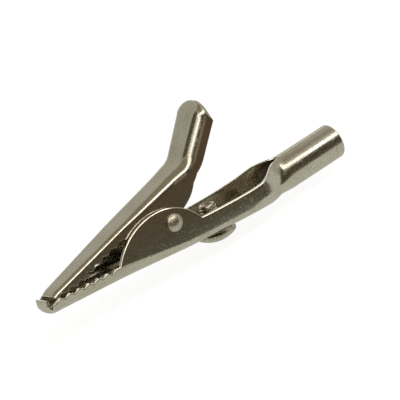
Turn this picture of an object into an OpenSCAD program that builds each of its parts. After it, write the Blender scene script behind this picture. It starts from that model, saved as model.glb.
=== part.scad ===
// Nickel-plated alligator clip with a screw terminal and a rolled plug socket.
// Millimetres. The origin is the centre of the socket's mouth. +X runs out of the mouth
// along the socket, +Y is the hinge direction and +Z points to the thumb lever's side.
// The pieces are drawn in the clip's own frame: x from the jaw's front end, z from its underside.

/* [Sheet metal] */
// Thickness of the sheet that both jaws are stamped from
sheet = 0.45; // [0.35:0.05:0.55]
// Outside radius of the bends along the channel's floor, behind the ears
floor_r = 0.9; // [0.8:0.05:1.3]
// Outside radius of the bends along the floor of the toothed front
front_floor_r = 2.15; // [1.8:0.05:2.2]
// Outside radius of the bends along the front of the moving jaw's web
web_r = 0.8; // [0.65:0.05:1]
// Outside radius of the bends along the web's rear end
rear_web_r = 1.6; // [1.3:0.05:1.8]
// Side gap between the walls of the two jaws
jaw_gap = 0.12; // [0.1:0.01:0.2]

/* [Fixed jaw] */
// Outside width at the front end
front_w = 4.6; // [4.2:0.1:5]
// Outside width where the channel ends
rear_w = 7.8; // [7.4:0.1:8.4]
// Length from the front end to where the walls start to roll in
channel_l = 36.6; // [35:0.1:40]
// Height of the tooth points
tooth_h = 2.1; // [1.8:0.05:2.3]
// Highest point of the ear above the underside
ear_h = 6.66; // [6.4:0.02:7]
// How far the ear's highest point lies in front of the hinge
ear_lead = 1.9; // [1.4:0.1:2.4]
// Radius of the ear's front half
ear_front_r = 9.05; // [8.5:0.05:9.5]
// Radius of the ear's rear half
ear_rear_r = 7.2; // [6.8:0.05:7.6]
// Wall height in the notch behind the ear
notch_h = 3.15; // [2.8:0.05:3.4]
// Wall height where the channel ends
channel_h = 3.6; // [3.4:0.02:4]
// Length of the front with the rounder floor
round_l = 12.5; // [11:0.5:14]
// Length over which the floor's bends tighten behind that front
round_fade_l = 10; // [8:0.5:12]
// Width of the front lip
lip_w = 2.85; // [2.2:0.05:3]
// Height of the front lip
lip_h = 2.25; // [2:0.05:2.4]
// Outside radius of the bend below the front lip
lip_r = 1.3; // [1.1:0.05:1.6]
// Angle through which the front lip is bent up
lip_turn = 100; // [90:1:110]
// How far the front lip stands out in front of the walls
lip_out = 0.66; // [0.4:0.01:0.8]
// Width of the slits beside the front lip
slit_w = 0.08; // [0.05:0.01:0.2]

/* [Teeth] */
// Distance from one tooth to the next
tooth_pitch = 1.55; // [1.4:0.05:1.8]
// Depth of the scallops between the teeth
tooth_depth = 0.4; // [0.25:0.05:0.5]
// Place of the fixed jaw's first tooth point
first_tooth_x = 1.43; // [1.2:0.01:1.7]

/* [Plug socket] */
// Bore of the rolled barrel
bore_d = 4.1; // [3.9:0.05:4.3]
// Length of the rolled barrel
barrel_l = 9.2; // [7:0.1:12]
// Upward tilt of the barrel from the channel's floor
barrel_tilt = 4.8; // [2:0.2:7]
// How far the barrel's underside starts below the channel's floor
barrel_drop = 0.27; // [0:0.01:0.4]
// Length over which the walls roll in to the barrel
roll_l = 5.7; // [5:0.1:7]
// Width of the seam along the barrel's top
seam_w = 0.12; // [0.08:0.02:0.3]

/* [Moving jaw] */
// Place of the hinge along the clip
pivot_x = 21.2; // [20.8:0.05:21.6]
// Height of the hinge above the underside
pivot_z = 4.27; // [4.1:0.01:4.4]
// Slope of the web when the jaws are closed
web_tilt = 18.05; // [17.5:0.05:18.6]
// Distance from the hinge to the outside of the web
web_rise = 4.73; // [4.6:0.01:4.9]
// Length of the web in front of the hinge
web_front_l = 19.9; // [19.4:0.1:20.2]
// Length of the web's nose, which is bent down
nose_l = 1.2; // [0.8:0.1:1.6]
// Angle of the nose
nose_tilt = 25; // [10:1:35]
// Length of the web behind the hinge, to the lever's bend
web_rear_l = 7; // [6.6:0.1:7.6]
// Wall depth at the tooth points
jaw_depth = 1.68; // [1.5:0.02:1.8]
// Wall depth at the front end
jaw_front_depth = 0.85; // [0.7:0.05:1]
// Length over which the front of the walls deepens
jaw_front_l = 4.5; // [3:0.1:6]
// Distance from the hinge to the last tooth
flank_l = 7; // [6.5:0.1:7.5]
// Length over which the walls deepen behind the last tooth
flank_slope_l = 5.4; // [4.8:0.1:6]
// Radius of the walls' round lugs on the hinge
lug_r = 2.3; // [2:0.05:2.5]

/* [Thumb lever] */
// Angle between the web and the lever
lever_tilt = 36.5; // [30:0.5:42]
// Radius of the bend between web and lever
lever_bend_r = 3; // [2:0.1:4]
// Length of the lever from the bend to its rounded end
lever_l = 6.25; // [4:0.05:8]
// Length of the rounded and cupped end, along the curve
cup_l = 2.4; // [2:0.1:3]
// Angle through which the end is cupped
cup_tilt = 30; // [15:1:40]
// Width of the lever where its end starts to round off
lever_w = 6.3; // [5.8:0.1:6.6]
// Width that is left at the very end of the lever
lever_tip_w = 1.2; // [0.9:0.1:2]
// Outside radius of the bends along the lever
lever_r = 1.7; // [1.4:0.05:2]
// Depth of the lever's side flanges
flange_h = 2.5; // [2.2:0.05:2.8]
// Depth of the rim at the lever's end
end_h = 0.75; // [0.6:0.05:1]

/* [Rivet] */
// Diameter of the rivet's shank
rivet_d = 1.7; // [1.4:0.05:2]
// Diameter of the rivet's heads
rivet_head_d = 2.5; // [2.3:0.05:3]
// Height of the rivet's domed heads
rivet_head_h = 0.62; // [0.4:0.02:0.8]
// Radial clearance of the shank in the moving jaw
rivet_fit = 0.05; // [0.02:0.01:0.1]

/* [Torsion spring] */
// Diameter of the spring wire
wire_d = 0.6; // [0.5:0.05:0.65]
// Radius of the coil, to the middle of the wire
coil_r = 1.75; // [1.6:0.05:1.85]
// Distance from one turn of the coil to the next
coil_pitch = 1.05; // [1.02:0.01:1.08]
// Slope of the leg that bears on the floor
floor_leg_tilt = 25; // [20:1:35]
// Slope of the leg that bears under the web, from the floor
web_leg_tilt = 50; // [45:1:55]
// Clearance between the legs' ends and the jaws
leg_fit = 0.12; // [0.05:0.01:0.2]

/* [Terminal screw] */
// Place of the screw along the clip
screw_x = 28.8; // [28.4:0.1:30]
// Diameter of the screw's thread
screw_d = 2.5; // [2:0.1:3]
// Height of the screw's end above the underside of the floor
screw_end_h = 3.4; // [2:0.1:3.6]
// Diameter of the screw's head
screw_head_d = 5.8; // [4.8:0.1:6.4]
// Depth of the screw's domed head
screw_head_h = 1.35; // [1:0.05:1.8]
// Gap for a wire between the floor and the screw's head
wire_gap = 0.6; // [0.5:0.05:1.2]
// Radial clearance of the thread in the floor
screw_fit = 0.05; // [0.02:0.01:0.1]

/* [Hidden] */
$fn = 64;
cut = 0.01;
nickel = [0.66, 0.62, 0.54];
spring_steel = [0.45, 0.44, 0.42];

ear_x = pivot_x - ear_lead;
barrel_r = bore_d / 2 + sheet;
barrel_x = channel_l + roll_l;
barrel_z = barrel_r - barrel_drop;
mouth_x = barrel_x + barrel_l * cos(barrel_tilt);
mouth_z = barrel_z + barrel_l * sin(barrel_tilt);
taper = (rear_w - front_w) / 2 / channel_l;
wall_start = 0.35;
front_corner_h = 1.35;
floor_flat_w = 0.2;
floor_shares = [1, 0.6, 0.2];
web_shares = [1, 1 / 3];
edge_curve = 3;
edge_limit = 1.2;
floor_lag = 1;
side_lead = 1.8;
seam_lag = 0.2;
seam_share = 0.6;
seam_curve = 1.5;
rim_lag = 0.15;
rim_bulge = 0.4;
rim_l = 0.35;
lug_share = 0.6;
rear_curve = 2.2;
widen_l = 6;
tip_r = 0.6;
barrel_lap = 0.5;
ear_start = ear_x - sqrt(pow(ear_front_r, 2) - pow(ear_front_r - ear_h + tooth_h, 2));
ear_end = ear_x + sqrt(pow(ear_rear_r, 2) - pow(ear_rear_r - ear_h + notch_h, 2));
last_tooth_x = first_tooth_x + tooth_pitch * floor((ear_start - first_tooth_x) / tooth_pitch);
bend_tangent = lever_bend_r * tan(lever_tilt / 2);
bend_start = web_front_l + web_rear_l - bend_tangent;
bend_end = bend_start + lever_bend_r * lever_tilt * PI / 180;
cup_start = bend_end + lever_l - bend_tangent;
jaw_end = cup_start + cup_l;

function mix(a, b, t) = a + (b - a) * t;
function unit(t) = min(1, max(0, t));
function steps(a, b, n) = [for (i = [0 : n - 1]) mix(a, b, i / n)];
function arc_steps(a, b, n) = [for (i = [0 : n - 1]) mix(a, b, (1 - cos(180 * i / n)) / 2)];

// Half the outside width of the fixed jaw
function body_half_w(x) = front_w / 2 + taper * x;

// Height of a circle's upper side that touches the height top at x = middle
function arch(x, middle, top, r) = top - r + sqrt(max(0, r * r - pow(x - middle, 2)));

// Scallops between tooth points, from 0 at a point to 1 half way to the next
function scallop(x, first) = (1 - cos(360 * (x - first) / tooth_pitch)) / 2;

// Height of the fixed jaw's walls: front corner, teeth, ear, notch and channel
function tooth_edge(x) = min(tooth_h - tooth_depth * scallop(min(x, last_tooth_x), first_tooth_x),
    mix(front_corner_h, tooth_h, (x - wall_start) / (first_tooth_x - wall_start)));
function channel_edge(x) = mix(notch_h, channel_h,
    pow(min(edge_limit, (x - ear_end) / (channel_l - ear_end)), edge_curve));
function wall_edge(x) = x <= ear_start ? tooth_edge(x)
    : x < ear_x ? arch(x, ear_x, ear_h, ear_front_r)
    : x < ear_end ? arch(x, ear_x, ear_h, ear_rear_r)
    : channel_edge(x);

// Radius of the floor's bends, which tighten below the ear
function floor_bend(x) = min(body_half_w(x) - floor_flat_w / 2,
    mix(front_floor_r, floor_r, unit((x - round_l) / round_fade_l)));

// Places across one side of a U section, as lengths from its middle: wall, bend and shares of the floor
function half_runs(half_w, edge, r, shares) = let (
    flat = half_w - r,
    turn = acos(max(0, (r - edge) / r)),
    all = flat + r * turn * PI / 180 + max(0, edge - r),
    bend = min(flat + r * PI / 2, all - rim_l))
    concat(steps(all, bend, 3), steps(bend, flat, 4), flat * shares);

// Point of a U section, [side, up], at a length from its middle and an inset into the sheet
function u_point(half_w, r, run, inset) = let (
    flat = half_w - r,
    turn = min(90, max(0, (run - flat) / r * 180 / PI)))
    [min(run, flat) + (r - inset) * sin(turn),
        r - (r - inset) * cos(turn) + max(0, run - flat - r * PI / 2)];
function half_u(half_w, edge, r, inset) =
    [for (run = half_runs(half_w, edge, r, web_shares)) u_point(half_w, r, run, inset)];
function reversed(list) = [for (i = [len(list) - 1 : -1 : 0]) list[i]];
function both_sides(half) = concat([for (p = half) [-p[0], p[1]]], reversed(half));

// Share of the way from U to O at x. The rims start to roll before the floor, and close last.
function roll_at(x, aside) = let (
    first = channel_l + floor_lag * (1 - aside),
    late = pow(unit((aside - seam_share) / (1 - seam_share)), seam_curve),
    last = barrel_x + mix(-side_lead, seam_lag, late))
    unit((x - first) / (last - first));

// One skin of the fixed jaw's section at x, an open U that rolls into an O of radius o_r
function body_skin(x, inset, o_r) = let (
    half_w = body_half_w(x),
    r = floor_bend(x),
    runs = half_runs(half_w, wall_edge(x), r, floor_shares),
    gap_angle = asin(seam_w / 2 / barrel_r),
    axis_z = barrel_z + (x - barrel_x) * tan(barrel_tilt))
    both_skin_sides([for (run = runs) let (
        aside = run / runs[0],
        roll = roll_at(x, aside),
        a = aside * (180 - gap_angle),
        u = u_point(half_w, r, run, 0),
        u_in = u_point(half_w, r, run, inset) - u,
        o = [barrel_r * sin(a), axis_z - barrel_r * cos(a) * cos(barrel_tilt)],
        o_in = (o_r - barrel_r) * [sin(a), -cos(a) * cos(barrel_tilt)],
        closing = roll - rim_lag * pow(aside, 4) * (roll - pow(roll, 6)),
        bulge = rim_bulge * pow(aside, 4) * sin(180 * roll),
        depth = mix(u_in, o_in, pow(roll, 3)))
        [x + o_r * cos(a) * sin(barrel_tilt) * roll,
            mix(u[0], o[0], closing) + depth[0],
            mix(u[1], o[1], roll) + bulge + depth[1]]]);
function both_skin_sides(half) = concat([for (p = half) [p[0], -p[1], p[2]]], reversed(half));
function body_ring(x) = concat(body_skin(x, 0, barrel_r - cut),
    reversed(body_skin(x, sheet, bore_d / 2 + 6 * cut)));

// Joins rings of equal size into one closed solid whose ends are open-profile strips
module loft(rings) {
    size = len(rings[0]);
    last = len(rings) - 1;
    points = [for (ring = rings, p = ring) p];
    sides = [for (i = [0 : last - 1], j = [0 : size - 1]) let (
        a = i * size + j, b = i * size + (j + 1) % size, c = a + size, d = b + size)
        each [[a, c, b], [b, c, d]]];
    strips = [for (j = [0 : size / 2 - 2]) let (a = j, b = j + 1, c = size - 2 - j, d = size - 1 - j)
        each [[a, b, c], [a, c, d]]];
    near_end = strips;
    far_end = [for (f = strips) [f[0], f[2], f[1]] + [1, 1, 1] * last * size];
    polyhedron(points, concat(sides, near_end, far_end), convexity = 8);
}

// Puts a piece drawn in the clip's frame into the socket's frame
module from_socket() {
    rotate([0, barrel_tilt, 0])
        translate([-mouth_x, 0, -mouth_z])
            children();
}

// Cylinder along the hinge, both ways from the middle plane
module across(d, half_l) {
    translate([pivot_x, 0, pivot_z])
        rotate([90, 0, 0])
            cylinder(d = d, h = 2 * half_l, center = true);
}

// Cylinder along the barrel's axis, measured from the barrel's start
module along_barrel(d, from, to) {
    translate([barrel_x, 0, barrel_z])
        rotate([0, 90 - barrel_tilt, 0])
            translate([0, 0, from])
                cylinder(d = d, h = to - from);
}

// Front lip: the floor's tongue between two slits, bent up in front of the moving jaw.
// A point lies a distance down from the lip's top edge, and a depth behind its outer face.
lip_bend_x = wall_start - lip_out + lip_r;
lip_flat_l = (lip_h - lip_r * (1 - cos(lip_turn))) / sin(lip_turn);
lip_arc_l = lip_r * lip_turn * PI / 180;
lip_root_l = 0.3;
function lip_point(down, depth) = let (
    a = lip_turn * unit(1 - (down - lip_flat_l) / lip_arc_l),
    above = max(0, lip_flat_l - down),
    behind = max(0, down - lip_flat_l - lip_arc_l))
    [lip_bend_x + behind - (lip_r - depth) * sin(a) - above * cos(a),
        lip_r - (lip_r - depth) * cos(a) + above * sin(a)];

// How far the trough's underside has risen at a distance from the middle
function trough_rise(side) = let (r = floor_bend(lip_bend_x), flat = body_half_w(lip_bend_x) - r)
    r - sqrt(r * r - pow(max(0, abs(side) - flat), 2));
function lip_skin(down, depth) = let (share = unit(down / (lip_flat_l + lip_arc_l)))
    [for (i = [-3 : 3]) let (side = i * lip_w / 6, p = lip_point(down, depth + share * trough_rise(side)))
        [p[0], side, p[1]]];
module front_lip() {
    downs = concat([0], steps(lip_flat_l, lip_flat_l + lip_arc_l, 8),
        [lip_flat_l + lip_arc_l, lip_flat_l + lip_arc_l + lip_root_l]);
    loft([for (d = downs) concat(lip_skin(d, cut), reversed(lip_skin(d, sheet - cut)))]);
}

module fixed_jaw() {
    places = concat([for (x = [wall_start : tooth_pitch / 6 : ear_start - tooth_pitch / 12]) x],
        arc_steps(ear_start, ear_x, 9), arc_steps(ear_x, ear_end, 8),
        steps(ear_end, channel_l, 3), steps(channel_l, barrel_x + seam_lag, 14),
        [barrel_x + seam_lag, barrel_x + barrel_lap]);
    color(nickel) from_socket() difference() {
        union() {
            difference() {
                loft([for (x = places) body_ring(x)]);
                translate([wall_start - 1, -lip_w / 2 - slit_w, -1])
                    cube([lip_bend_x - wall_start + 1, lip_w + 2 * slit_w, front_corner_h + 1]);
            }
            front_lip();
            difference() {
                along_barrel(2 * barrel_r, 0, barrel_l);
                along_barrel(bore_d, -1, barrel_l + 1);
                translate([barrel_x, 0, barrel_z])
                    rotate([0, -barrel_tilt, 0])
                        translate([-1, -seam_w / 2, 0])
                            cube([barrel_l + 2, seam_w, barrel_r + 1]);
            }
        }
        across(rivet_d + 2 * cut, rear_w);
        translate([screw_x, 0, -1])
            cylinder(d = screw_d + 2 * screw_fit, h = sheet + 2);
    }
}

// Spine along the outside of the web and lever: [along, up, slope] from the hinge
function spine(s) = s < nose_l ? let (r = nose_l / nose_tilt * 180 / PI, a = nose_tilt * (1 - s / nose_l))
        [nose_l - web_front_l - r * sin(a), web_rise - r * (1 - cos(a)), a]
    : s < bend_start ? [s - web_front_l, web_rise, 0]
    : s < bend_end ? let (a = (s - bend_start) / lever_bend_r * 180 / PI)
        [bend_start - web_front_l + lever_bend_r * sin(a), web_rise + lever_bend_r * (1 - cos(a)), a]
    : s < cup_start ? let (p = spine(bend_end - cut))
        [p[0] + (s - bend_end) * cos(lever_tilt), p[1] + (s - bend_end) * sin(lever_tilt), lever_tilt]
    : let (p = spine(cup_start - cut), r = cup_l / cup_tilt * 180 / PI, a = (s - cup_start) / r * 180 / PI)
        [p[0] + r * (sin(lever_tilt) - sin(lever_tilt - a)), p[1] + r * (cos(lever_tilt - a)
            - cos(lever_tilt)), lever_tilt - a];

// Half the outside width along the spine: inside the fixed jaw's walls, then the rounded lever
function web_half_w(s) = body_half_w(pivot_x + (s - web_front_l) * cos(web_tilt)
    - web_rise * sin(web_tilt)) - sheet - jaw_gap;
function jaw_half_w(s) = s < bend_start ? web_half_w(s)
    : s < cup_start ? mix(web_half_w(bend_start), lever_w / 2, (s - bend_start) / (cup_start - bend_start))
    : mix(lever_tip_w, lever_w, sqrt(max(0, 1 - pow((s - cup_start) / cup_l, 2)))) / 2;

// Wall depth along the spine: teeth, flank, lug on the hinge, rear edge, flange and cupped end
function tooth_line(s) = mix(jaw_front_depth, jaw_depth, unit(s / jaw_front_l));
function flank(u) = mix(jaw_depth, web_rise + lug_share * lug_r, unit((u + flank_l) / flank_slope_l));
function lug(u) = abs(u) < lug_r ? web_rise + sqrt(lug_r * lug_r - u * u) : 0;
function rear_edge(u) = mix(web_rise, flange_h, pow(unit(u / (bend_start - web_front_l)), rear_curve));
function jaw_edge(s) = let (u = s - web_front_l)
    u < -flank_l ? tooth_line(s) - tooth_depth * scallop(u, -flank_l)
    : u < 0 ? max(flank(u), lug(u))
    : s < bend_start ? max(rear_edge(u), lug(u))
    : mix(flange_h, end_h, unit((s - cup_start) / cup_l));

// Radius of the bends along the spine, which widen towards the lever and tighten at its end
function jaw_bend(s) = lookup(s, [[web_front_l - widen_l, web_r], [bend_start, rear_web_r],
    [bend_end, lever_r], [cup_start, lever_r], [jaw_end, tip_r]]);

function jaw_skin(s, inset) = let (
    half_w = jaw_half_w(s),
    p = spine(s),
    profile = both_sides(half_u(half_w, jaw_edge(s), min(jaw_bend(s), half_w - cut), inset)))
    [for (q = profile) [p[0] + q[1] * sin(p[2]), -q[0], p[1] - q[1] * cos(p[2])]];
function jaw_ring(s) = concat(jaw_skin(s, 0), reversed(jaw_skin(s, sheet)));

module moving_jaw() {
    lug_s = [for (a = [180 : -18 : 0]) web_front_l + lug_r * cos(a)];
    toothed_l = web_front_l - flank_l;
    stations = concat([for (s = [0 : tooth_pitch / 6 : toothed_l - tooth_pitch / 12]) s],
        steps(toothed_l, lug_s[0], 4), lug_s, steps(web_front_l + lug_r + cut, bend_start, 5),
        steps(bend_start, bend_end, 6), steps(bend_end, cup_start, 4),
        arc_steps(cup_start, jaw_end, 12), [jaw_end]);
    color(nickel) from_socket() difference() {
        translate([pivot_x, 0, pivot_z])
            rotate([0, -web_tilt, 0])
                loft([for (s = stations) jaw_ring(s)]);
        across(rivet_d + 2 * rivet_fit, rear_w);
    }
}

// The rivet's heads clear the ears, which slope by the jaw's taper
module pivot_rivet() {
    seat = body_half_w(pivot_x) + taper * rivet_head_d / 2 + cut;
    dome_r = (pow(rivet_head_d / 2, 2) + pow(rivet_head_h, 2)) / (2 * rivet_head_h);
    color(nickel) from_socket() {
        across(rivet_d, seat + cut);
        for (side = [-1, 1])
            translate([pivot_x, side * seat, pivot_z])
                rotate([-90 * side, 0, 0])
                    intersection() {
                        translate([0, 0, rivet_head_h - dome_r])
                            sphere(dome_r, $fn = 36);
                        cylinder(d = rivet_head_d + 1, h = rivet_head_h + 1);
                    }
    }
}

// Coil around the rivet, wound so that squeezing the lever closes it further
leg_low = -90 - floor_leg_tilt;
leg_high = 90 + web_leg_tilt;
floor_leg_l = (pivot_z - coil_r * cos(floor_leg_tilt) - sheet - wire_d / 2 - leg_fit) / sin(floor_leg_tilt);
web_leg_l = (web_rise - sheet - wire_d / 2 - leg_fit - coil_r * cos(web_leg_tilt - web_tilt))
    / sin(web_leg_tilt - web_tilt);
coil_turn = 3 * 360 + (leg_low + 360 - leg_high);
coil_half = coil_pitch * coil_turn / 360 / 2;
function coil_point(a) = let (t = (leg_low - a) / coil_turn)
    [coil_r * cos(a), mix(-coil_half, coil_half, t), coil_r * sin(a)];
function out_of(a) = [cos(a), 0, sin(a)];
spring_angles = [for (i = [0 : 27]) mix(leg_low, leg_low - coil_turn, i / 27)];
low_dir = [-sin(leg_low), 0, cos(leg_low)];
high_dir = [sin(leg_high), 0, -cos(leg_high)];
spring_path = concat(
    [for (k = [1, 0.5, wire_d / floor_leg_l]) [coil_point(leg_low) + low_dir * floor_leg_l * k,
        out_of(leg_low)]],
    [for (a = spring_angles) [coil_point(a), out_of(a)]],
    [for (k = [wire_d / web_leg_l, 0.5, 1]) [coil_point(leg_low - coil_turn) + high_dir * web_leg_l * k,
        out_of(leg_high)]]);
spring_gap = min([for (i = [0 : len(spring_path) - 1], j = [0 : len(spring_path) - 1]) if (j > i + 5)
    norm(spring_path[i][0] - spring_path[j][0])]) - wire_d;
echo("least gap of the spring to itself", spring_gap);

// Round wire swept along a path of [point, sideways direction]
module wire(path, d) {
    sides = 6;
    last = len(path) - 1;
    points = [for (p = path, k = [0 : sides - 1])
        p[0] + d / 2 * (p[1] * cos(360 * k / sides) + [0, sin(360 * k / sides), 0])];
    tube = [for (i = [0 : last - 1], k = [0 : sides - 1]) let (
        a = i * sides + k, b = i * sides + (k + 1) % sides)
        each [[a, b, a + sides], [b, b + sides, a + sides]]];
    cap = [for (k = [1 : sides - 2]) [0, k + 1, k]];
    end_cap = [for (f = cap) [f[0], f[2], f[1]] + [1, 1, 1] * last * sides];
    polyhedron(points, concat(tube, cap, end_cap), convexity = 8);
}

module torsion_spring() {
    color(spring_steel) from_socket()
        translate([pivot_x, 0, pivot_z])
            wire(spring_path, wire_d);
}

module terminal_screw() {
    rim_h = 0.35;
    dome_h = screw_head_h - rim_h;
    dome_r = (pow(screw_head_d / 2, 2) + dome_h * dome_h) / (2 * dome_h);
    point_h = 0.3;
    slot_w = 0.8;
    slot_h = 0.7;
    color(nickel) from_socket() translate([screw_x, 0, -wire_gap]) {
        cylinder(d = screw_d, h = screw_end_h + wire_gap - point_h);
        translate([0, 0, screw_end_h + wire_gap - point_h])
            cylinder(d1 = screw_d, d2 = screw_d - 2 * point_h, h = point_h);
        difference() {
            union() {
                translate([0, 0, -rim_h])
                    cylinder(d = screw_head_d, h = rim_h);
                translate([0, 0, -rim_h])
                    intersection() {
                        translate([0, 0, dome_r - dome_h])
                            sphere(dome_r);
                        translate([0, 0, -dome_h - 1])
                            cylinder(d = screw_head_d, h = dome_h + 1);
                    }
            }
            translate([-screw_head_d, -slot_w / 2, -screw_head_h - 1])
                cube([2 * screw_head_d, slot_w, slot_h + 1]);
        }
    }
}

fixed_jaw();
moving_jaw();
pivot_rivet();
torsion_spring();
terminal_screw();
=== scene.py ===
"""Nickel-plated alligator clip with a screw terminal and a rolled plug socket."""

import bpy
import numpy as np
from mathutils import Matrix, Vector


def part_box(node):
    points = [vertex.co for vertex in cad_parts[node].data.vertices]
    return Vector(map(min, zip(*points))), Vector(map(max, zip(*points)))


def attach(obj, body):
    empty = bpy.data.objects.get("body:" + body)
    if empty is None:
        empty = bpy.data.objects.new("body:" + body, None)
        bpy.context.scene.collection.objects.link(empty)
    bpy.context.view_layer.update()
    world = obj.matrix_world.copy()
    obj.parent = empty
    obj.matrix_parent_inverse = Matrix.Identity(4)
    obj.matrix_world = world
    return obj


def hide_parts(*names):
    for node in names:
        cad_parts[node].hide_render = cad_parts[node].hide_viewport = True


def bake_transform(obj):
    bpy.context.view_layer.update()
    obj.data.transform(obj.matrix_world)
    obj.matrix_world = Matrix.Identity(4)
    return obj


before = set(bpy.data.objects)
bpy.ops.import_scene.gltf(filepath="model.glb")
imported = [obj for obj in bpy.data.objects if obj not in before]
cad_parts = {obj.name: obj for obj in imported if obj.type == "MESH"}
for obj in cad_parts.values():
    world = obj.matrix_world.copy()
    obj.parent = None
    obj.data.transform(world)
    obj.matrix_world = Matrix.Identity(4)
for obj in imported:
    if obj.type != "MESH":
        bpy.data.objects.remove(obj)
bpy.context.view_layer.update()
scene = bpy.context.scene
scene.view_settings.view_transform = "Standard"

# Camera: a long lens half a metre away, rolled so that the clip climbs across the picture.
# All sizes are millimetres in the clip's own frame: x from the jaw's front end, y along the
# hinge, z up from the channel's underside.
barrel_tilt = np.radians(4.8)
mouth = np.array([51.4677, 0.0, 2.99984])


def to_frame(points):
    """Clip's frame to the socket's: the mouth moves to the origin, a turn by the barrel's tilt
    about the hinge direction, and millimetres become metres."""
    c, s = np.cos(barrel_tilt), np.sin(barrel_tilt)
    turn = np.array([[c, 0, s], [0, 1, 0], [-s, 0, c]])
    return (np.asarray(points, float) - mouth) @ turn.T * 0.001


view_az, view_el, view_roll = np.radians([-30.94, 15.559, 18.611])
eye_l, eye_right, eye_up = 500, 0.398, 1.6375
look_at = np.array([27, 0, 3])
level = np.array([np.cos(view_az), np.sin(view_az), 0])
ahead = np.array([-np.sin(view_az), np.cos(view_az), 0])
back = np.array([0, 0, np.sin(view_el)]) - np.cos(view_el) * ahead
rise = np.cross(back, level)
right = np.cos(view_roll) * level - np.sin(view_roll) * rise
above = np.sin(view_roll) * level + np.cos(view_roll) * rise
eye = look_at + eye_l * back + eye_right * right + eye_up * above
camera = bpy.data.objects.new("camera", bpy.data.cameras.new("camera"))
scene.collection.objects.link(camera)
camera.data.sensor_width = 36
camera.data.lens = 332.1
camera.data.clip_start = 0.05
camera.data.clip_end = 20
# A metre from the mouth along each axis of the camera becomes that axis in the socket's frame.
stand = np.eye(4)
stand[:3, :3] = np.stack([to_frame(mouth + 1000 * axis) for axis in (right, above, back)], 1)
stand[:3, 3] = to_frame(eye)
camera.matrix_world = Matrix(stand.tolist())
scene.camera = camera

# Fixed jaw: one blank of 0.45 mm nickel-plated steel, stamped with its teeth and ears and folded
# into a channel, whose rear end is rolled into a barrel for a 4 mm plug. The punch left a bevelled
# rim on the sheet's outer side and an almost sharp one on its inner side.
sheet = 0.45
bevel_depth, bevel_l, inner_bevel = 0.125, 0.16, 0.3
bevel_run = np.array([0, 0.115, 0.27, 0.81, 0.96, 1])
bevel_kept = np.array([1, 0.97, 0.86, 0.425, 0.225, 0])
front_x, front_h, front_half, flare = 0.35, 1.35, 2.3, 1.6
tooth_top, tooth_depth, tooth_pitch, first_tooth = 2.1, 0.4, 1.55, 1.43
ear_x, ear_top, ear_front_r, ear_rear_r = 19.3, 6.66, 9.05, 7.2
notch_h, channel_h, channel_l = 3.15, 3.6, 36.6
trough_l, trough_fade, front_bend, floor_bend = 12.5, 10, 2.15, 0.9
barrel_r, barrel_x, barrel_z, seam_w = 2.5, 42.3, 2.23, 0.1
roll_x, roll_lead, rim_lag, rim_bulge = 38.6, 1.4, 0.15, 0.4
pivot = np.array([21.2, 0, 4.27])
screw_x = 28.8
ear_start = ear_x - np.sqrt(ear_front_r**2 - (ear_front_r - ear_top + tooth_top) ** 2)
ear_end = ear_x + np.sqrt(ear_rear_r**2 - (ear_rear_r - ear_top + notch_h) ** 2)


def half_width(x):
    """Half the channel's outside width: a straight taper from that of the front end."""
    return front_half + flare * x / channel_l


def scallop(x, first):
    """0 at a tooth's point and 1 half way to the next, as a cosine."""
    return (1 - np.cos(2 * np.pi * (x - first) / tooth_pitch)) / 2


def wall_height(x):
    """Height of the walls: scallops below the front corner's slope, two circles for the ear, then
    the channel's edge, which rises with the third power of its length."""
    slope = front_h + (tooth_top - front_h) * (x - front_x) / (first_tooth - front_x)
    last_tooth = first_tooth + tooth_pitch * np.floor((ear_start - first_tooth) / tooth_pitch)
    teeth = tooth_top - tooth_depth * scallop(np.minimum(x, last_tooth), first_tooth)
    radius = np.where(x < ear_x, ear_front_r, ear_rear_r)
    ear = ear_top - radius + np.sqrt(np.maximum(0, radius**2 - (x - ear_x) ** 2))
    behind = np.clip((x - ear_end) / (channel_l - ear_end), 0, 1.2)
    channel = notch_h + (channel_h - notch_h) * behind**3
    return np.where(x <= ear_start, np.minimum(teeth, slope), np.where(x < ear_end, ear, channel))


def section_run(half, bend, edge):
    """Length of a U section from its middle to an edge of a given height: flat, bend and wall."""
    turn = np.arccos(np.clip((bend - edge) / bend, 0, 1))
    return half - bend + bend * turn + np.maximum(0, edge - bend)


def section_point(half, bend, run, inset):
    """Sideways and upward place of a point on a U section, a run from its middle and an inset
    into the sheet: along the flat, round the bend by run over radius, then up the wall."""
    flat = half - bend
    turn = np.clip((np.abs(run) - flat) / bend, 0, np.pi / 2)
    side = np.minimum(np.abs(run), flat) + (bend - inset) * np.sin(turn)
    up = bend - (bend - inset) * np.cos(turn) + np.maximum(0, np.abs(run) - flat - bend * np.pi / 2)
    return np.sign(run) * side, up


def bevel_reach(step):
    """How far a rim runs past its start at a step of the bevel: 32 degrees with rounded borders."""
    return bevel_l * bevel_run[step]


def section_rows(count):
    """Places across a section from rim to rim: the signed share of the run before the bevelled
    rims, and the step of the bevel."""
    share = np.r_[np.linspace(0, 0.985, count), np.ones(len(bevel_run))]
    step = np.r_[np.zeros(count, int), np.arange(len(bevel_run))]
    return np.r_[-share[:0:-1], share], np.r_[step[:0:-1], step]


def bevelled_ends(inner, first, last):
    """Stations with a bevelled cut at both ends: each place, and the step of the bevel there."""
    step = np.arange(len(bevel_run))[::-1]
    lead = bevel_l - bevel_reach(step)
    inside = inner[(inner > first + 1.1 * bevel_l) & (inner < last - 1.1 * bevel_l)]
    place = np.r_[first + lead, inside, last - lead[::-1]]
    return place[:, None], np.r_[step, np.zeros(len(inside), int), step[::-1]][:, None]


def rim_inset(rim, end):
    """How far a skin draws back into the sheet round a rim or an end: the bevel's depth times 1
    less the product of the shares that both keep."""
    return bevel_depth * (1 - bevel_kept[rim] * bevel_kept[end])


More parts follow.
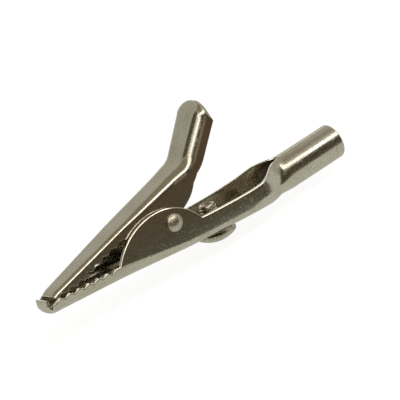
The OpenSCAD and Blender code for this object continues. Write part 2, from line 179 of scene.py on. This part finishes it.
def smooth_ramp(t, first, last):
    """t from 0 to 1, joined to the constants 0 and 1 by parabolas that reach first and last to
    both sides of the corners."""
    low = np.where(np.abs(t) < first, (t + first) ** 2 / (4 * first), np.maximum(t, 0))
    return np.where(np.abs(t - 1) < last, 1 - (t - 1 - last) ** 2 / (4 * last), np.minimum(low, 1))


def body_skin(x, end, share, rim, inner):
    """One skin of the fixed jaw. Behind the channel the U section narrows to the barrel's width up
    to a crease, by a smoothed ramp whose ends change up the wall. By a second ramp its points move
    to those of a round tube with the same share of the run. The rims start this roll before the
    floor does, bulge by a sine on the way and close last."""
    inset = rim_inset(rim, end)
    inset = sheet - inner_bevel * inset if inner else inset
    half = half_width(x)
    bend = front_bend + (floor_bend - front_bend) * np.clip((x - trough_l) / trough_fade, 0, 1)
    length = section_run(half, bend, wall_height(x))
    run = np.sign(share) * (np.abs(share) * (length - bevel_l) + bevel_reach(rim))
    side, up = section_point(half, bend, run, 0)
    side_in, up_in = section_point(half, bend, run, inset)
    aside = np.abs(run / length)
    neck_start = np.interp(aside, [0.45, 0.55, 0.7, 1], [34.3, 34.7, 36.9, 36.2])
    neck_end = np.interp(aside, [0.45, 0.55, 0.7, 0.85], [42, 41.6, 40.7, 41.4])
    narrow = smooth_ramp((x - neck_start) / (neck_end - neck_start), 0.5, 0.015)
    roll_start = roll_x - roll_lead * aside
    roll = smooth_ramp((x - roll_start) / (barrel_x - roll_start), 0.3, 0.08)
    turn = run / length * (np.pi - np.arcsin(seam_w / 2 / barrel_r))
    lift = -(barrel_r - inset) * np.cos(turn)
    axis_z = barrel_z + (x - barrel_x) * np.tan(barrel_tilt)
    closing = roll - rim_lag * aside**4 * (roll - roll**6)
    late = roll**3
    into = (side_in - side) * (1 - late) - inset * np.sin(turn) * late
    under = (up_in - up) * (1 - late) + inset * np.cos(turn) * late
    side = side * (1 + (barrel_r / half - 1) * narrow)
    side = side + (barrel_r * np.sin(turn) - side) * closing + into
    up = up + (axis_z - barrel_r * np.cos(turn) * np.cos(barrel_tilt) - up) * roll + under
    up = up + rim_bulge * aside**4 * np.sin(np.pi * roll)
    return np.stack([x - lift * np.sin(barrel_tilt) * roll, side, up], -1)


def ring_quads(count, size):
    """Quads between neighbouring rings of equal size, each ring closed on itself."""
    i = np.arange(count - 1)[:, None] * size
    j = np.arange(size)[None, :]
    k = (j + 1) % size
    return np.stack([i + j, i + k, i + k + size, i + j + size], -1).reshape(-1, 4)


def pole_fans(count, size):
    """Triangles that close the first and the last of such rings with two poles, whose points
    follow those of the rings."""
    j = np.arange(size)
    k = (j + 1) % size
    last = (count - 1) * size
    pole = np.full(size, count * size)
    return np.concatenate([np.stack([k, j, pole], -1), np.stack([j + last, k + last, pole + 1], -1)])


def sheet_shell(skin, place, end, share, rim):
    """Closed shell between two skins of one sheet: points, quads and the share of cut rim."""
    outer = skin(place, end, share, rim, False)
    inner = skin(place, end, share, rim, True)
    points = np.concatenate([outer, inner[:, ::-1]], 1)
    count, size = points.shape[:2]
    j = np.arange(size // 2 - 1)
    cap = np.stack([j, j + 1, size - 2 - j, size - 1 - j], -1)
    quads = np.concatenate([ring_quads(count, size), cap[:, [1, 0, 3, 2]], cap + (count - 1) * size])
    cut = np.broadcast_to(rim_inset(rim, end) / bevel_depth, outer.shape[:2])
    return points.reshape(-1, 3), quads, np.concatenate([cut, cut[:, ::-1]], 1).ravel()


def make_piece(name, points, quads, tris=None, rim=None):
    """Mesh object at the origin. Its faces are turned outwards by the sign of their volume, and
    the share of cut rim is kept at each point."""
    tris = np.zeros((0, 3), int) if tris is None else tris
    corners = points[np.concatenate([quads[:, :3], quads[:, [0, 2, 3]], tris])]
    volume = np.einsum("ij,ij->", corners[:, 0], np.cross(corners[:, 1], corners[:, 2]))
    turned = slice(None, None, 1 if volume > 0 else -1)
    mesh = bpy.data.meshes.new(name)
    mesh.from_pydata(to_frame(points), [], quads[:, turned].tolist() + tris[:, turned].tolist())
    mesh.attributes.new("rim", "FLOAT", "POINT")
    mesh.attributes["rim"].data.foreach_set("value", np.zeros(len(points)) if rim is None else rim)
    piece = bpy.data.objects.new(name, mesh)
    scene.collection.objects.link(piece)
    return piece


def turned_part(profile, turns, centre, axis, ridge=None):
    """Solid of revolution: a profile of radius and height from pole to pole, carried round an axis.
    A ridge adds to the radius by height and angle. Returns points, quads and the poles' fans."""
    radius, height = np.asarray(profile, float).T
    theta = np.arange(turns) * 2 * np.pi / turns
    radius = radius[1:-1, None] + (0 if ridge is None else ridge(height[1:-1, None], theta))
    axis = np.asarray(axis, float)
    across = np.cross(axis, [1, 0, 0] if abs(axis[0]) < 0.9 else [0, 1, 0])
    across = across / np.linalg.norm(across)
    other = np.cross(axis, across)
    around = np.cos(theta)[:, None] * across + np.sin(theta)[:, None] * other
    wall = radius[..., None] * around + height[1:-1, None, None] * axis
    points = np.concatenate([wall.reshape(-1, 3), height[[0, -1], None] * axis]) + centre
    rings = len(height) - 2
    return points, ring_quads(rings, turns), pole_fans(rings, turns)


def drill(name, radius, reach, centre, axis):
    """Cutter for a round hole: a cylinder that reaches equally far to both sides of its centre."""
    profile = [(0, -reach), (radius, -reach), (radius, reach), (0, reach)]
    return make_piece(name, *turned_part(profile, 64, centre, axis))


def block(name, x, y, z):
    """Cutter for a slot: a straight block between two places along each axis."""
    corners = np.stack(np.meshgrid(x, y, z, indexing="ij"), -1).reshape(-1, 3)
    faces = [[0, 1, 3, 2], [4, 6, 7, 5], [0, 4, 5, 1], [2, 3, 7, 6], [0, 2, 6, 4], [1, 5, 7, 3]]
    return make_piece(name, corners, np.array(faces))


def carve(piece, *cutters):
    """Takes the cutters out of a piece, keeps the plain mesh, and marks the edges sharper than
    40 degrees so that the rest shades smoothly."""
    for cutter in cutters:
        step = piece.modifiers.new("carve", "BOOLEAN")
        step.object = cutter
        step.solver = "EXACT"
    ready = piece.evaluated_get(bpy.context.evaluated_depsgraph_get())
    mesh = bpy.data.meshes.new_from_object(ready)
    piece.modifiers.clear()
    piece.data = mesh
    mesh.materials.clear()
    mesh.polygons.foreach_set("use_smooth", np.ones(len(mesh.polygons), bool))
    mesh.set_sharp_from_angle(angle=np.radians(40))
    for cutter in cutters:
        bpy.data.objects.remove(cutter)


class Shade:
    """One socket of a node tree. Sums and products of sockets and numbers add Math nodes."""

    def __init__(self, tree, socket=None):
        self.tree = tree
        self.socket = socket

    def node(self, kind, settings=None, inputs=None, output=0):
        """Adds a node: its settings first, then the values or links of its sockets."""
        made = self.tree.nodes.new(kind)
        for key, value in (settings or {}).items():
            setattr(made, key, value)
        for key, value in (inputs or {}).items():
            if isinstance(value, Shade):
                self.tree.links.new(value.socket, made.inputs[key])
            else:
                made.inputs[key].default_value = value
        return Shade(self.tree, made.outputs[output] if len(made.outputs) else None)

    def math(self, operation, *values):
        """Math node of an operation on sockets and numbers."""
        return self.node("ShaderNodeMath", {"operation": operation}, dict(enumerate(values)))

    def __add__(self, other):
        return self.math("ADD", self, other)

    def __radd__(self, other):
        return self.math("ADD", other, self)

    def __sub__(self, other):
        return self.math("SUBTRACT", self, other)

    def __rsub__(self, other):
        return self.math("SUBTRACT", other, self)

    def __mul__(self, other):
        return self.math("MULTIPLY", self, other)

    def __rmul__(self, other):
        return self.math("MULTIPLY", other, self)

    def step(self, low, high):
        """0 below low, 1 above high, smooth between."""
        return self.node("ShaderNodeMapRange", {"interpolation_type": "SMOOTHSTEP"},
                         {0: self, 1: low, 2: high, 3: 0.0, 4: 1.0})

    def window(self, low, high, soft):
        """1 between low and high with soft borders, 0 outside."""
        return self.step(low - soft, low + soft) - self.step(high - soft, high + soft)

    def blend(self, first, second):
        """Colour between two others, with this socket as the share of the second."""
        return self.node("ShaderNodeMix", {"data_type": "RGBA"}, {0: self, 6: first, 7: second}, 2)

    def noise(self, vector, scale, detail):
        """Smooth noise from 0 to 1 with a number of cells a metre, and octaves of finer detail."""
        return self.node("ShaderNodeTexNoise", {}, {"Vector": vector, "Scale": scale, "Detail": detail})


def new_material(name):
    """Empty material with a node tree, and a Shade to build it with."""
    material = bpy.data.materials.new(name)
    material.use_nodes = True
    material.node_tree.nodes.clear()
    return material, Shade(material.node_tree)


def plated_steel(name, tone, dull, gloss, rolled):
    """Nickel plate: warm stains some millimetres wide from tone to dull, a darker pitted grain,
    rougher specks, rolling lines at a scale along each axis, and cut rims painted paler, partly a
    burnished cut and partly a painted highlight. Inside the barrel's radius from the x axis the bore
    is dark brown and less metallic, and the barrel is a little rougher."""
    material, shade = new_material(name)
    place = shade.node("ShaderNodeTexCoord", output=3)
    along = shade.node("ShaderNodeSeparateXYZ", {}, {0: place})
    square = shade.node("ShaderNodeMapping", {}, {"Vector": place, "Scale": (0, 1, 1)})
    from_axis = shade.node("ShaderNodeVectorMath", {"operation": "LENGTH"}, {0: square}, 1)
    lines = shade.node("ShaderNodeMapping", {}, {"Vector": place, "Scale": rolled})
    rim = shade.node("ShaderNodeAttribute", {"attribute_name": "rim"}, output=2)
    stain = shade.noise(place, 260.0, 3.0)
    pits = shade.noise(place, 5200.0, 3.0)
    roll = shade.noise(lines, 1.0, 2.0)
    specks = shade.noise(place, 2500.0, 2.0).step(0.52, 0.68)
    barrel = along.step(-0.0125, -0.009)
    bore = (1 - from_axis.step(0.0021, 0.0023)) * along.step(-0.014, -0.01)
    colour = stain.step(0.35, 0.7).blend((*tone, 1), (*dull, 1))
    colour = (pits.step(0.42, 0.62) * 0.55).blend(colour, (*(0.7 * part for part in dull), 1))
    # Cut rims painted paler: partly a burnished cut, partly a painted highlight along the edges.
    colour = (rim * 0.8).blend(colour, (0.96, 0.93, 0.84, 1))
    colour = bore.blend(colour, (0.2, 0.14, 0.08, 1))
    rough = gloss + stain.step(0.3, 0.75) * 0.06 + pits.step(0.45, 0.7) * 0.1 + specks * 0.12
    rough = rough + bore * 0.3 + barrel * 0.05
    height = pits * 0.6 + roll * 0.4
    bump = shade.node("ShaderNodeBump", {}, {"Strength": 0.3, "Distance": 0.00001, "Height": height})
    plate = shade.node("ShaderNodeBsdfPrincipled", {}, {
        "Base Color": colour, "Metallic": 1 - bore * 0.6, "Roughness": rough, "Normal": bump})
    shade.node("ShaderNodeOutputMaterial", {}, {0: plate})
    return material


jaw_plate = plated_steel("jaw_plate", (0.67, 0.635, 0.53), (0.59, 0.54, 0.43), 0.11, (260, 4200, 4200))
neck_from, neck_to = 36, 42.8
places = np.r_[np.arange(front_x, ear_start, tooth_pitch / 16), np.linspace(ear_start, ear_x, 56),
               np.linspace(ear_x, ear_end, 50)[1:], np.linspace(ear_end, neck_from, 24)[1:],
               np.linspace(neck_from, neck_to, 100)[1:], np.linspace(neck_to, mouth[0], 24)[1:]]
body = sheet_shell(body_skin, *bevelled_ends(places, front_x, mouth[0]), *section_rows(38))
fixed_jaw = make_piece("fixed_jaw_body", body[0], body[1], rim=body[2])
carve(fixed_jaw, block("lip_slot", (-1, 0.99), (-1.505, 1.505), (-1, front_h)),
      drill("rivet_bore", 0.86, 6, pivot, [0, 1, 0]),
      drill("screw_bore", 1.3, 1, [screw_x, 0, 0], [0, 0, 1]))
fixed_jaw.data.materials.append(jaw_plate)
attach(fixed_jaw, "fixed")
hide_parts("fixed_jaw")

# Front lip: the middle of the fixed jaw's floor, left standing as a tongue of the same plated sheet
# between two cuts and bent up in front of the teeth.
lip_h, lip_r, lip_half, lip_ahead, lip_l = 2.25, 1.3, 1.425, 0.66, 3.3
lip_turn = np.radians(100)
lip_skin = 0.01


def tongue_skin(down, end, share, rim, inner):
    """One skin of the lip, a hair inside the floor's skins: straight at the top, then an arc of 100
    degrees into the floor, whose trough shape it takes on the way down."""
    inset = rim_inset(rim, end)
    inset = sheet - lip_skin - inset if inner else inset + lip_skin
    bend_x = front_x - lip_ahead + lip_r
    flat_l = (lip_h - lip_r * (1 - np.cos(lip_turn))) / np.sin(lip_turn)
    arc_l = lip_r * lip_turn
    side = np.sign(share) * (np.abs(share) * (lip_half - bevel_l) + bevel_reach(rim))
    flat = half_width(bend_x) - front_bend
    trough = front_bend - np.sqrt(front_bend**2 - np.maximum(0, np.abs(side) - flat) ** 2)
    depth = inset + np.clip(down / (flat_l + arc_l), 0, 1) * trough
    turn = lip_turn * np.clip(1 - (down - flat_l) / arc_l, 0, 1)
    over = np.maximum(0, flat_l - down)
    behind = np.maximum(0, down - flat_l - arc_l)
    x = bend_x + behind - (lip_r - depth) * np.sin(turn) - over * np.cos(turn)
    z = lip_r - (lip_r - depth) * np.cos(turn) + over * np.sin(turn)
    return np.stack(np.broadcast_arrays(x, side, z), -1)


places = np.linspace(0, lip_l - 0.1, 60)
tongue = sheet_shell(tongue_skin, *bevelled_ends(places, 0, lip_l), *section_rows(10))
front_lip = make_piece("front_lip", tongue[0], tongue[1], rim=tongue[2])
carve(front_lip)
front_lip.data.materials.append(jaw_plate)
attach(front_lip, "fixed")

# Pivot rivet: a steel pin through both ears, with a snap head at each end that was peened over
# and plated with the clip.
snap_r, snap_h, shank_r = 1.25, 0.62, 0.85
seat = half_width(pivot[0]) + flare / channel_l * snap_r + 0.01
dome_r = (snap_r**2 + snap_h**2) / (2 * snap_h)
lean = np.linspace(0, np.arcsin(snap_r / dome_r) - 0.09, 22)
dome = np.stack([dome_r * np.sin(lean), seat + snap_h - dome_r * (1 - np.cos(lean))], -1)
skirt = np.array([(snap_r, seat + 0.09), (snap_r, seat + 0.03), (snap_r - 0.03, seat), (shank_r, seat)])
half_pin = np.concatenate([dome, skirt, [(shank_r, 0.5)]])
pin = np.concatenate([half_pin * [1, -1], half_pin[::-1]])
rivet = make_piece("rivet", *turned_part(pin, 72, pivot, [0, 1, 0]))
carve(rivet)
rivet_plate = plated_steel("rivet_plate", (0.7, 0.66, 0.55), (0.6, 0.54, 0.42), 0.32, (900, 900, 900))
rivet.data.materials.append(rivet_plate)
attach(rivet, "fixed")
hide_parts("pivot_rivet")

# Torsion spring: round spring wire wound three times and a bit round the rivet. One leg bears on
# the channel's floor and the other under the web, so the coil winds up as the jaws open.
wire_r, coil_r, coil_pitch = 0.3, 1.75, 1.05
wire_sides, leg_steps, leg_start = 16, 16, 0.1
floor_lean, web_lean, web_tilt = np.radians([25, 50, 18.05])
web_rise = 4.73
play = 0.12
leg_low = -np.pi / 2 - floor_lean
leg_high = np.pi / 2 + web_lean
floor_leg = (pivot[2] - coil_r * np.cos(floor_lean) - sheet - wire_r - play) / np.sin(floor_lean)
web_gap = web_rise - sheet - wire_r - play
web_leg = (web_gap - coil_r * np.cos(web_lean - web_tilt)) / np.sin(web_lean - web_tilt)
winding = 6 * np.pi + leg_low + 2 * np.pi - leg_high
coil_half = coil_pitch * winding / (4 * np.pi)


def coil_path(count):
    """Middle of the wire and its outward direction: a straight leg, a helix that advances with the
    angle, and the other leg, each leg at a tangent to the coil."""
    angle = leg_low - np.linspace(0, winding, count)
    out = np.stack([np.cos(angle), 0 * angle, np.sin(angle)], -1)
    turns = coil_r * out + np.linspace(-coil_half, coil_half, count)[:, None] * [0, 1, 0]
    low = np.linspace(floor_leg, leg_start, leg_steps)[:, None]
    low = np.array([-np.sin(leg_low), 0, np.cos(leg_low)]) * low
    high = np.linspace(leg_start, web_leg, leg_steps)[:, None]
    high = np.array([np.sin(leg_high), 0, -np.cos(leg_high)]) * high
    middle = np.concatenate([turns[0] + low, turns, turns[-1] + high])
    ends = [np.tile(out[row], (leg_steps, 1)) for row in (0, -1)]
    return middle, np.concatenate([ends[0], out, ends[1]])


middle, outward = coil_path(200)
theta = np.arange(wire_sides) * 2 * np.pi / wire_sides
around = np.cos(theta)[:, None] * outward[:, None] + np.sin(theta)[:, None] * [0, 1, 0]
wire = middle[:, None] + wire_r * around
wire_points = np.concatenate([wire.reshape(-1, 3), middle[[0, -1]]]) + pivot
spring = make_piece("spring", wire_points, ring_quads(len(middle), wire_sides),
                    pole_fans(len(middle), wire_sides))
carve(spring)
spring_wire, shade = new_material("spring_wire")
place = shade.node("ShaderNodeTexCoord", output=3)
drawn = shade.noise(place, 1800.0, 2.0)
soot = shade.noise(place, 420.0, 2.0)
colour = soot.step(0.35, 0.7).blend((0.42, 0.4, 0.36, 1), (0.22, 0.19, 0.15, 1))
bump = shade.node("ShaderNodeBump", {}, {"Strength": 0.3, "Distance": 0.00001, "Height": drawn})
steel = shade.node("ShaderNodeBsdfPrincipled", {}, {
    "Base Color": colour, "Metallic": 1.0, "Roughness": 0.24 + drawn * 0.14, "Normal": bump})
shade.node("ShaderNodeOutputMaterial", {}, {0: steel})
spring.data.materials.append(spring_wire)
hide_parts("torsion_spring")
tuple(to_frame([pivot[0], wire_r - coil_half, pivot[2]]))
tuple(to_frame([pivot[0], coil_half - wire_r, pivot[2]]))
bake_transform(spring)

# Moving jaw: the same sheet, folded into a narrower channel that opens downwards and drops between
# the ears. It has teeth in front, round lugs on the rivet, and behind the hinge it bends up into a
# thumb lever with side flanges and a rounded, cupped end.
web_front_l, web_rear_l, lever_l, cup_l, nose_l = 19.9, 6.75, 6.5, 2.4, 1.2
nose_lean, lever_lean, cup_lean, lever_bend = 25, 34, 4, 3
lever_half, tip_half, tip_bulge = 3.3, 0.6, 2.7
widen_from, widen_l, widen = 3.5, 2.3, 0.25
nose_depth, tooth_gain, tooth_gain_l, flank_l, flank_run = 0.85, 0.83, 4.5, 7, 5.4
lug_r, rear_depth, flange_h, cup_depth = 2.3, 2.9, 2.5, 0.75
bend_half = lever_bend * np.tan(np.radians(lever_lean) / 2)
bend_start = web_front_l + web_rear_l - bend_half
bend_end = bend_start + lever_bend * np.radians(lever_lean)
cup_start = bend_end + lever_l - bend_half
jaw_end = cup_start + cup_l


def spine(s):
    """Line along the outside of web and lever, by adding up small steps along a slope: the nose
    straightens, the web runs level, and the lever's bend and cup turn evenly. Returns the place
    along and above the hinge, and the slope."""
    fine = np.linspace(0, jaw_end, 6001)
    slope = np.radians(np.interp(fine, [0, nose_l, bend_start, bend_end, cup_start, jaw_end],
                                 [nose_lean, 0, 0, lever_lean, lever_lean, cup_lean]))
    between = (slope[1:] + slope[:-1]) / 2
    along = np.r_[0, np.cumsum(fine[1] * np.cos(between))]
    up = np.r_[0, np.cumsum(fine[1] * np.sin(between))]
    along = along - np.interp(web_front_l, fine, along)
    up = up - np.interp(web_front_l, fine, up) + web_rise
    return np.interp(s, fine, along), np.interp(s, fine, up), np.interp(s, fine, slope)


def jaw_half_width(s):
    """Half the outside width: inside the fixed jaw's walls, a little wider behind the ears, then a
    straight taper along the lever and an ellipse round its end."""
    along = np.minimum(s, bend_start) - web_front_l
    x = pivot[0] + along * np.cos(web_tilt) - web_rise * np.sin(web_tilt)
    web = half_width(x) - sheet - play
    web = web + widen * np.clip((s - web_front_l - widen_from) / widen_l, 0, 1)
    lever = web + (lever_half - web) * np.clip((s - bend_start) / (cup_start - bend_start), 0, 1)
    tip = tip_half + tip_bulge * np.sqrt(np.clip(1 - ((s - cup_start) / cup_l) ** 2, 0, 1))
    return np.where(s < cup_start, lever, tip)


def jaw_depth(s):
    """Depth of the walls below the web: scallops on an edge that deepens behind the nose, a straight
    flank, a circle for the lug, a rear edge that shortens with a power of its length, then the
    flange, which runs out straight round the cup."""
    u = s - web_front_l
    tooth_edge = nose_depth + tooth_gain
    teeth = nose_depth + tooth_gain * np.clip(s / tooth_gain_l, 0, 1)
    teeth = teeth - tooth_depth * scallop(u, -flank_l)
    flank_end = web_rise + 0.6 * lug_r
    flank = tooth_edge + (flank_end - tooth_edge) * np.clip((u + flank_l) / flank_run, 0, 1)
    lug = np.where(np.abs(u) < lug_r, web_rise + np.sqrt(np.maximum(0, lug_r**2 - u**2)), 0)
    rear = web_rise + (rear_depth - web_rise) * np.clip(u / (bend_start - web_front_l), 0, 1) ** 3.4
    flange = np.interp(s, [bend_start, bend_start + 0.7, bend_end],
                       [rear_depth, flange_h - 0.1, flange_h])
    cup = flange + (cup_depth - flange) * np.clip((s - cup_start) / cup_l, 0, 1)
    return np.select([u < -flank_l, u < 0, s < bend_start],
                     [teeth, np.maximum(flank, lug), np.maximum(rear, lug)], cup)


def jaw_skin(s, end, share, rim, inner):
    """One skin of the moving jaw: a U section square to the spine and hanging from it, whose bend
    opens towards the lever and closes again in the cup."""
    inset = rim_inset(rim, end)
    inset = sheet - inner_bevel * inset if inner else inset
    half = jaw_half_width(s)
    bend = np.interp(s, [web_front_l - 6, bend_start, bend_end, cup_start, jaw_end],
                     [0.8, 1.6, 1.7, 1.7, 0.6])
    bend = np.minimum(bend, half - 0.01)
    length = section_run(half, bend, jaw_depth(s))
    run = np.sign(share) * (np.abs(share) * (length - bevel_l) + bevel_reach(rim))
    side, down = section_point(half, bend, run, inset)
    along, up, slope = spine(s)
    along = along + down * np.sin(slope)
    up = up - down * np.cos(slope)
    c, t = np.cos(web_tilt), np.sin(web_tilt)
    return np.stack([pivot[0] + along * c - up * t, side, pivot[2] + along * t + up * c], -1)


toothed_l = web_front_l - flank_l
lug_s = web_front_l - lug_r * np.cos(np.linspace(0, np.pi, 50))
places = np.r_[np.arange(0, toothed_l, tooth_pitch / 16),
               np.linspace(toothed_l, lug_s[0], 28)[:-1], lug_s,
               np.linspace(lug_s[-1], bend_start, 30)[1:], np.linspace(bend_start, bend_end, 28)[1:],
               np.linspace(bend_end, cup_start, 20)[1:],
               cup_start + cup_l * np.sin(np.linspace(0, np.pi / 2, 46))[1:]]
jaw = sheet_shell(jaw_skin, *bevelled_ends(places, 0, jaw_end), *section_rows(38))
moving_jaw = make_piece("moving_jaw_body", jaw[0], jaw[1], rim=jaw[2])
carve(moving_jaw, drill("lug_bore", 0.9, 6, pivot, [0, 1, 0]))
moving_jaw.data.materials.append(jaw_plate)
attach(moving_jaw, "moving")
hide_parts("moving_jaw")

# Terminal screw: a turned M2.5 screw that comes up through the channel's floor and clamps a bare
# wire between the floor and its slotted, domed head.
thread_r, thread_pitch, thread_depth = 1.25, 0.45, 0.2
head_r, head_h, head_rim = 2.9, 1.35, 0.35
head_top, end_top = -0.6, 3.4
bulge = head_h - head_rim
head_dome = (head_r**2 + bulge**2) / (2 * bulge)
lean = np.linspace(0, np.arcsin(head_r / head_dome) - 0.03, 20)
head = np.stack([head_dome * np.sin(lean), head_top - head_h + head_dome * (1 - np.cos(lean))], -1)
collar = np.array([(head_r, head_top - head_rim + 0.04), (head_r, head_top - 0.06),
                   (head_r - 0.06, head_top), (head_r - 0.2, head_top),
                   (head_r - 0.32, head_top - 0.06), (head_r - 0.42, head_top - 0.24),
                   (head_r - 0.52, head_top - 0.28), (thread_r + 0.3, head_top - 0.28),
                   (thread_r + 0.1, head_top - 0.2), (thread_r, head_top - 0.05)])
shank = np.stack([np.full(90, thread_r), np.linspace(head_top + 0.1, end_top - 0.3, 90)], -1)
point = np.array([(thread_r - 0.05, end_top - 0.22), (1.06, end_top - 0.06), (0.98, end_top),
                  (0.86, end_top), (0.78, end_top - 0.06), (0.55, end_top - 0.36), (0, end_top - 0.45)])


def thread(height, angle):
    """Groove of the thread: a triangle wave of the height less the helix's advance, 0 on the crest,
    that fades out at the head and at the point."""
    phase = (height - angle * thread_pitch / (2 * np.pi)) / thread_pitch % 1
    groove = np.clip(1.25 - 2.5 * np.abs(phase - 0.5), 0, 1)
    held = np.clip((height - head_top - 0.1) / 0.2, 0, 1)
    held = held * np.clip((end_top - 0.18 - height) / 0.1, 0, 1)
    return -thread_depth * groove * held


profile = np.concatenate([head, collar, shank, point])
screw = make_piece("screw", *turned_part(profile, 96, [screw_x, 0, 0], [0, 0, 1], thread))
carve(screw, block("driver_slot", (25, 33), (-0.4, 0.4), (-4, -1.25)))
screw_plate = plated_steel("screw_plate", (0.64, 0.6, 0.5), (0.46, 0.4, 0.29), 0.18, (2600, 2600, 500))
screw.data.materials.append(screw_plate)
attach(screw, "screw")
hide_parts("terminal_screw")

# Floor: a sheet of white paper that lies the screw's travel below its head. The paper's front edge
# is close to the clip and slants away beside the socket. The darker table beyond it, warmer farther
# off, shows only in the metal.
screw_travel = 0.00152
floor_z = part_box("terminal_screw")[0][2] - screw_travel
mesh = bpy.data.meshes.new("floor")
mesh.from_pydata([(x, y, floor_z) for x, y in ((-6, -6), (6, -6), (6, 6), (-6, 6))], [], [(0, 1, 2, 3)])
floor = bpy.data.objects.new("floor", mesh)
scene.collection.objects.link(floor)
paper, shade = new_material("paper")
seen = shade.node("ShaderNodeLightPath", output="Is Camera Ray")
mirrored = shade.node("ShaderNodeLightPath", output="Is Glossy Ray")
place = shade.node("ShaderNodeTexCoord", output=3)
along = shade.node("ShaderNodeSeparateXYZ", {}, {0: place}, 0)
across = shade.node("ShaderNodeSeparateXYZ", {}, {0: place}, 1)
beside = shade.math("MAXIMUM", along - 0.011, 0.0)
sheet_here = (across + beside * 0.7).step(-0.016, -0.013)
table = across.step(-0.036, -0.027).blend((0.12, 0.086, 0.055, 1), (0.11, 0.099, 0.075, 1))
mirror_tone = sheet_here.blend(table, (0.35, 0.365, 0.35, 1))
lit_tone = sheet_here.blend((0, 0, 0, 1), (0.47, 0.49, 0.475, 1))
glow = shade.node("ShaderNodeEmission", {}, {0: mirror_tone, 1: 1.0})
lit = shade.node("ShaderNodeBsdfDiffuse", {}, {0: lit_tone})
in_metal = shade.node("ShaderNodeAddShader", {}, {0: glow, 1: lit})
matt = shade.node("ShaderNodeBsdfDiffuse", {}, {0: (0.8, 0.79, 0.76, 1)})
white = shade.node("ShaderNodeEmission", {}, {0: (0.87, 0.87, 0.87, 1), 1: 1.0})
pale = shade.node("ShaderNodeBsdfDiffuse", {}, {0: (0.3, 0.3, 0.3, 1)})
direct = shade.node("ShaderNodeAddShader", {}, {0: white, 1: pale})
other = shade.node("ShaderNodeMixShader", {}, {0: mirrored, 1: matt, 2: in_metal})
surface = shade.node("ShaderNodeMixShader", {}, {0: seen, 1: other, 2: direct})
shade.node("ShaderNodeOutputMaterial", {}, {0: surface})
mesh.materials.append(paper)

# Light: a pale tent all round, browner overhead, with a dark opening on the camera's side and a
# dark gap on the left. A long bright panel hangs above the opening, lower to the right, with a
# second one on its left, a dim warm one in the opening, and a white card low at the back.
world = bpy.data.worlds.new("tent")
scene.world = world
world.use_nodes = True
world.node_tree.nodes.clear()
shade = Shade(world.node_tree)
seen = shade.node("ShaderNodeLightPath", output="Is Camera Ray")
toward = shade.node("ShaderNodeTexCoord")
east, north, height = (shade.node("ShaderNodeSeparateXYZ", {}, {0: toward}, axis) for axis in range(3))
degrees = 180 / np.pi
el = shade.math("ARCSINE", height) * degrees
az = shade.math("ARCTAN2", east, 0 - north) * degrees
hung = el + az.step(5, 45) * 7
crown = el.step(55, 61)
opening = az.window(-75, 58, 8) * (1 - el.step(24, 32))
warm_panel = az.window(-18, 12, 5) * el.window(-8, 16, 4)
back_card = az.window(112, 176, 8) * el.window(2, 20, 3)
gap = az.window(-146, -87, 5) * el.window(18, 52, 5)
side_panel = az.window(-82, -42, 4) * el.window(25, 45, 4)
panel = az.window(-48, 60, 5) * hung.window(36, 51, 2)
tone = crown.blend((0.49, 0.48, 0.435, 1), (0.3, 0.255, 0.19, 1))
tone = opening.blend(tone, (0.07, 0.061, 0.043, 1))
tone = warm_panel.blend(tone, (0.3, 0.23, 0.17, 1))
tone = back_card.blend(tone, (1.1, 1.1, 1.05, 1))
tone = gap.blend(tone, (0.09, 0.08, 0.055, 1))
tone = side_panel.blend(tone, (1.7, 1.7, 1.68, 1))
tone = panel.blend(tone, (3, 2.95, 2.8, 1))
tone = seen.blend(tone, (1, 1, 1, 1))
tent = shade.node("ShaderNodeBackground", {}, {0: tone, 1: 1.0})
shade.node("ShaderNodeOutputWorld", {}, {0: tent})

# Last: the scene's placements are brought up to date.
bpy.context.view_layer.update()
